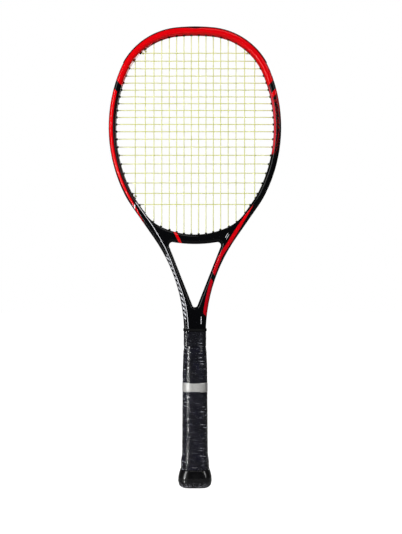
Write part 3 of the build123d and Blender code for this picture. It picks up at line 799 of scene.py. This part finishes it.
# ---- Butt cap badge ------------------------------------------------------------------------------
# A thin moulded disc pressed into the cap's end: a raised rim, a dished field and a plain ring of
# ribs, in satin grey plastic.
# Its profile from the middle out, as (share of the radius, share of the thickness).
BADGE_RINGS = (
    (0.01, 0.55), (0.25, 0.5), (0.3, 0.3), (0.55, 0.3), (0.6, 0.5),
    (0.82, 0.5), (0.86, 0.08), (0.97, 0.05), (1.0, 0.3), (1.0, 1.0),
)
BADGE_RIBS = 24
RIB_DEPTH = 0.14
RIBS_FROM, RIBS_TO = 0.5, 0.84
BADGE_COLUMNS = 96
badge_thickness = badge_high.z - badge_low.z
disc_vertices = []
for share, depth in BADGE_RINGS:
    for column in range(BADGE_COLUMNS):
        angle = 2 * math.pi * column / BADGE_COLUMNS
        ribbed = RIB_DEPTH * math.cos(BADGE_RIBS * angle) if RIBS_FROM < share < RIBS_TO else 0.0
        reach = share * badge_radius
        height = badge_low.z + (depth + ribbed) * badge_thickness
        disc_vertices.append((reach * math.cos(angle), reach * math.sin(angle), height))
disc_faces = wall(len(BADGE_RINGS), BADGE_COLUMNS)
last_row = (len(BADGE_RINGS) - 1) * BADGE_COLUMNS
for row_start in (0, last_row):
    disc_faces.append(tuple(row_start + column for column in range(BADGE_COLUMNS)))
badge_plastic, badge_shader = new_material("badge_plastic")
n = Nodes(badge_plastic)
place = n.place()
clouded = n.fade(n.noise(place, scale=400.0, detail=3.0), 0.35, 0.7)
n.put(badge_shader.inputs["Base Color"], n.mix(clouded, rgb(60, 62, 66), rgb(84, 86, 90)))
grain = n.noise(place, scale=2500.0)
n.put(badge_shader.inputs["Normal"], n.bump(grain, strength=0.2, distance=0.0001))
badge_shader.inputs["Roughness"].default_value = 0.42
new_piece("end_badge", disc_vertices, disc_faces, badge_plastic, "racket", "badge_plastic", "butt_cap_badge")

# ---- Staples ---------------------------------------------------------------------------------------
# Flat steel wire staples: two hold the cap to the pallet, two the start of the grip.
steel, steel_shader = new_material("staple_steel")
n = Nodes(steel)
place = n.place()
drawn = n.noise(n.stretched(place, 0.1, 1.0, 1.0), scale=2500.0)
n.put(steel_shader.inputs["Base Color"], n.mix(drawn, rgb(150, 150, 152), rgb(190, 190, 192)))
n.put(steel_shader.inputs["Roughness"], n.fade(drawn, 0.3, 0.7, 0.25, 0.45))
steel_shader.inputs["Metallic"].default_value = 1.0
for node in ("butt_cap_staples", "grip_start_staple"):
    finish(node, steel)

# ---- Base grip -------------------------------------------------------------------------------------
# A strip of soft black polyurethane, wound up the pallet in a spiral whose turns overlap a little.
# Each overlap shows as a slanted step, with a small valley beside it.
GRIP_PITCH = 25.5 * MM
GRIP_STEP = 0.14 * MM
GRIP_VALLEY = 0.22 * MM
GRIP_CORNER_SOFTNESS = 8
GRIP_ROW = 0.6 * MM
GRIP_SETTLING = 0.12 * MM
GRIP_TOP_THINNING = 1.25 * MM
GRIP_THINNING_FROM = 165 * MM
# As shares of one turn: where a lap has risen, starts to fall and ends, and how wide its valley is.
LAP_RISEN, LAP_FALLS, LAP_ENDS = 0.02, 0.1, 0.16
VALLEY_WIDTH = 0.012


def smooth(value, low, high):
    """0 below low and 1 above high, eased between them."""
    share = min(1.0, max(0.0, (value - low) / (high - low)))
    return share * share * (3 - 2 * share)


grip_low, grip_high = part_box("base_grip")


def grip_thinning(height):
    """How much the strip is pulled thinner towards its top end."""
    return GRIP_TOP_THINNING * smooth(height, GRIP_THINNING_FROM, grip_high.z)


grip_heights = spread(grip_low.z + 0.02 * MM, grip_high.z - 0.02 * MM, GRIP_ROW)
grip_rings = rounded_reach("base_grip", grip_heights, GRIP_CORNER_SOFTNESS)
for height, ring in zip(grip_heights, grip_rings):
    for column, reach in enumerate(ring):
        wound = ((height - grip_low.z) / GRIP_PITCH + column / HANDLE_COLUMNS) % 1.0
        step = smooth(wound, 0.0, LAP_RISEN) * (1 - smooth(wound, LAP_FALLS, LAP_ENDS))
        valley = math.exp(-((min(wound, 1 - wound) / VALLEY_WIDTH) ** 2))
        settled = reach - GRIP_SETTLING - grip_thinning(height)
        ring[column] = settled + GRIP_STEP * step - GRIP_VALLEY * valley
vertices, faces = skin(grip_heights, grip_rings)

grip_skin, grip_shader = new_material("grip_skin")
n = Nodes(grip_skin)
place = n.place()
grain = n.cells(place, 1500.0)
crinkle_place = n.stretched(place, 0.35, 0.35, 1.0)
crinkle = n.noise(crinkle_place, scale=330.0, detail=4.0, roughness=0.65, distortion=0.4)
worn = n.fade(n.noise(place, scale=70.0, detail=3.0), 0.3, 0.7)
n.put(grip_shader.inputs["Base Color"], n.mix(worn, rgb(8, 8, 15), rgb(19, 19, 31)))
grip_shader.inputs["Specular IOR Level"].default_value = 0.04
n.put(grip_shader.inputs["Roughness"], n.fade(grain, 0.1, 0.5, 0.42, 0.58))
n.put(grip_shader.inputs["Normal"], n.bump(grain, strength=0.35, distance=0.00012))
n.put(grip_shader.inputs["Coat Normal"], n.bump(crinkle, strength=0.6, distance=0.0011))
grip_shader.inputs["Coat Weight"].default_value = 0.8
grip_shader.inputs["Coat Roughness"].default_value = 0.07
new_piece("wound_grip", vertices, faces, grip_skin, "racket", "grip_skin", "base_grip")

# ---- Finishing tape ----------------------------------------------------------------------------------
# Black vinyl tape round the top edge of the grip, laid half on the grip and half on the shaft.
vinyl, vinyl_shader = new_material("tape_vinyl")
n = Nodes(vinyl)
place = n.place()
vinyl_tone = n.mix(n.noise(place, scale=120.0), rgb(8, 8, 12), rgb(18, 18, 26))
n.put(vinyl_shader.inputs["Base Color"], vinyl_tone)
wrinkles = n.noise(place, scale=300.0, detail=4.0, roughness=0.65, distortion=0.4)
n.put(vinyl_shader.inputs["Coat Normal"], n.bump(wrinkles, strength=0.5, distance=0.0004))
vinyl_shader.inputs["Coat Weight"].default_value = 1.0
vinyl_shader.inputs["Coat Roughness"].default_value = 0.08
vinyl_shader.inputs["Specular IOR Level"].default_value = 0.04
finish("finishing_tape", vinyl)

# ---- Clear film --------------------------------------------------------------------------------------
# The maker's clear plastic wrap, still on the grip. It is wound tight, so it creases in fine level
# lines at the sides, and it bunches at its lower end and under the collar.
FILM_CORNER_SOFTNESS = 8
FILM_SKIN = 0.1 * MM
FILM_STAND_OFF = 0.18 * MM
FILM_ROW = 0.55 * MM
FILM_EASE = 5
FILM_CREASE = 0.22 * MM
CREASE_PITCH = 2.2 * MM
CREASE_TILT = 4 * MM
CREASES_ROUND = 3.0
BULGE_HEIGHT = 40 * MM
BULGE_REACH = 11 * MM
BULGE_ANGLE = 6.0
BULGE_SPREAD = 0.42
BULGE_DEPTH = 1.1 * MM
film_low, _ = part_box("grip_film")
_, tape_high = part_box("finishing_tape")
grip_edge = grip_high.z - 0.1 * MM
film_heights = spread(film_low.z + 0.05 * MM, tape_high.z - 1.0 * MM, FILM_ROW)
over_grip = [height for height in film_heights if height < grip_edge]
over_tape = film_heights[len(over_grip):]
film_rings = rounded_reach("base_grip", over_grip, FILM_CORNER_SOFTNESS)
film_rings += rounded_reach("finishing_tape", over_tape, FILM_CORNER_SOFTNESS)
for height, ring in zip(film_heights, film_rings):
    drop = grip_thinning(height) if height < grip_edge else 0.0
    ring[:] = [reach - drop + FILM_STAND_OFF for reach in ring]
eased = []
for row in range(len(film_rings)):
    near = film_rings[max(0, row - FILM_EASE):row + FILM_EASE + 1]
    eased.append([sum(column) / len(near) for column in zip(*near)])
film_rings = eased
for height, ring in zip(film_heights, film_rings):
    for column, reach in enumerate(ring):
        angle = column_angle(column)
        level = (height + CREASE_TILT * math.sin(angle)) / CREASE_PITCH
        spot = Vector((math.cos(angle) * CREASES_ROUND, math.sin(angle) * CREASES_ROUND, level))
        at_side = 0.15 + 0.85 * smooth(abs(math.cos(angle)), 0.45, 0.9)
        crease = max(0.0, noise.noise(spot)) ** 1.5 * at_side
        aside = (angle - BULGE_ANGLE) / BULGE_SPREAD
        above = (height - BULGE_HEIGHT) / BULGE_REACH
        bulge = math.exp(-(aside ** 2) - above ** 2)
        fold = 0.7 + 0.3 * math.sin(angle * 34 + height / MM * 0.5)
        ring[column] = reach + FILM_CREASE * crease + BULGE_DEPTH * bulge * fold
vertices, faces = skin(film_heights, film_rings)

clear_film, film_shader = new_material("clear_film")
n = Nodes(clear_film)
place = n.place()
x_m, y_m, z_m = n.parts(place)
squeezed_x, squeezed_y = n.math("MULTIPLY", x_m, 0.14), n.math("MULTIPLY", y_m, 0.14)
line_place = n.vector(squeezed_x, squeezed_y, n.leaning(z_m, x_m, 0.12))
# Painted highlights: pale lines along the creases, strongest at the sides, stand in for light glinting on
# the creased film.
level_lines = n.fade(n.noise(line_place, scale=520.0, distortion=0.1), 0.575, 0.675)
at_sides = n.fade(n.math("ABSOLUTE", n.math("SUBTRACT", x_m, -0.002)), 0.006, 0.014, 0.25, 1.0)
patches = n.fade(n.noise(place, scale=75.0), 0.3, 0.55, 0.15, 1.0)
# Painted highlights on the bunched folds under the collar and low on the right.
fold_place = n.vector(x_m, y_m, n.leaning(n.math("MULTIPLY", z_m, 0.7), x_m, 0.9))
fold_highlights = n.fade(n.noise(fold_place, scale=420.0, detail=3.0, roughness=0.6, distortion=0.4), 0.56, 0.68)
under_collar = n.both(n.fade(z_m, 0.196, 0.226), n.fade(n.math("ABSOLUTE", x_m), 0.006, 0.014))
low_right = n.both(n.fade(x_m, 0.009, 0.014), n.fade(z_m, 0.056, 0.046))
fold_highlights = n.both(fold_highlights, n.either(under_collar, low_right))
crease_highlights = n.either(n.both(level_lines, at_sides, patches), fold_highlights)
# These painted highlights make the film pale and less clear along its creases and folds.
n.put(film_shader.inputs["Alpha"], n.math("MULTIPLY_ADD", crease_highlights, 0.62, 0.01))
n.put(film_shader.inputs["Base Color"], n.mix(crease_highlights, rgb(60, 62, 74), rgb(206, 208, 218)))
n.put(film_shader.inputs["Normal"], n.bump(level_lines, strength=0.4, distance=0.0004))
film_shader.inputs["Roughness"].default_value = 0.12
film_shader.inputs["Specular IOR Level"].default_value = 0.8
film_piece = new_piece("wrinkled_film", vertices, faces, clear_film, "racket", "clear_film", "grip_film")


def thicken(piece, depth):
    """Give a skin its real thickness, inwards."""
    thickness = piece.modifiers.new("thickness", "SOLIDIFY")
    thickness.thickness = depth
    thickness.offset = -1.0


thicken(film_piece, FILM_SKIN)

# ---- Label band ----------------------------------------------------------------------------------------
# A blank band of silvered paper round the middle of the film, glued to itself at a lap on the right.
BAND_ROW = 0.7 * MM
BAND_TUCK = 0.5 * MM
BAND_THICKNESS = 0.3 * MM
LAP_RISE = 0.1 * MM
LAP_FIRST, LAP_LAST = 126, 137
band_low, band_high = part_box("label_band")
band_heights = spread(band_low.z, band_high.z, BAND_ROW)
band_rings = rounded_reach("label_band", band_heights[1:-1], FILM_CORNER_SOFTNESS)
band_rings = [band_rings[0]] + band_rings + [band_rings[-1]]
for ring in band_rings:
    for column, reach in enumerate(ring):
        lap = smooth(column, LAP_FIRST, LAP_FIRST + 1) * (1 - smooth(column, LAP_LAST, LAP_LAST + 1))
        ring[column] = reach - BAND_TUCK + LAP_RISE * lap
vertices, faces = skin(band_heights, band_rings)
band_paper, band_shader = new_material("band_paper")
n = Nodes(band_paper)
place = n.place()
fibres = n.noise(place, scale=900.0, detail=4.0, roughness=0.7)
paper_tone = n.mix(n.fade(fibres, 0.3, 0.7), rgb(168, 168, 166), rgb(196, 195, 192))
n.put(band_shader.inputs["Base Color"], paper_tone)
cockling = n.noise(place, scale=160.0, detail=3.0)
n.put(band_shader.inputs["Normal"], n.bump(cockling, strength=0.25, distance=0.0006))
n.put(band_shader.inputs["Roughness"], n.fade(fibres, 0.3, 0.7, 0.34, 0.5))
band_shader.inputs["Metallic"].default_value = 0.25
band_piece = new_piece("silver_band", vertices, faces, band_paper, "racket", "band_paper", "label_band")
thicken(band_piece, BAND_THICKNESS)

# ---- Collar --------------------------------------------------------------------------------------------
# A ring of soft black rubber, stretched over the shaft to cover the end of the tape. It can be
# rolled a little way up the shaft. Two shallow grooves run round its rounded outside.
COLLAR_ROWS = 24
COLLAR_SOFTNESS = 3
COLLAR_WALL = 0.75 * MM
COLLAR_SQUARENESS = 0.45
COLLAR_GROOVE = 0.12 * MM
GROOVE_PLACE = 0.33
GROOVE_WIDTH = 0.09
COLLAR_EDGE = 0.3 * MM
collar_low, collar_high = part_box("grip_collar")
collar_height = collar_high.z - collar_low.z
collar_centre = (collar_low.z + collar_high.z) / 2
collar_middle = rounded_reach("grip_collar", [collar_centre], COLLAR_SOFTNESS)[0]

# The rounded outside from the top down, then the plain inside back up to the top.
collar_heights, collar_rings = [], []
for row in reversed(range(COLLAR_ROWS + 1)):
    angle = math.pi * row / COLLAR_ROWS - math.pi / 2
    share = math.sin(angle)
    grooves = sum(math.exp(-((share - side * GROOVE_PLACE) / GROOVE_WIDTH) ** 2) for side in (-1, 1))
    bulge = COLLAR_WALL * (abs(math.cos(angle)) ** COLLAR_SQUARENESS - 1)
    collar_heights.append(collar_low.z + collar_height * (share + 1) / 2)
    collar_rings.append([reach + bulge - COLLAR_GROOVE * grooves for reach in collar_middle])
inner_ring = [reach - COLLAR_WALL for reach in collar_middle]
collar_heights += [collar_low.z + COLLAR_EDGE, collar_high.z - COLLAR_EDGE, collar_high.z]
collar_rings += [inner_ring, inner_ring, collar_rings[0]]
vertices, faces = skin(collar_heights, collar_rings)

rubber, rubber_shader = new_material("collar_rubber")
n = Nodes(rubber)
place = n.place()
rubber_tone = n.mix(n.noise(place, scale=300.0, detail=3.0), rgb(6, 6, 7), rgb(14, 14, 15))
n.put(rubber_shader.inputs["Base Color"], rubber_tone)
grain = n.noise(place, scale=1800.0)
n.put(rubber_shader.inputs["Normal"], n.bump(grain, strength=0.3, distance=0.00012))
rubber_shader.inputs["Roughness"].default_value = 0.62
rubber_shader.inputs["Specular IOR Level"].default_value = 0.1
new_piece("rubber_collar", vertices, faces, rubber, "collar", "collar_rubber", "grip_collar")
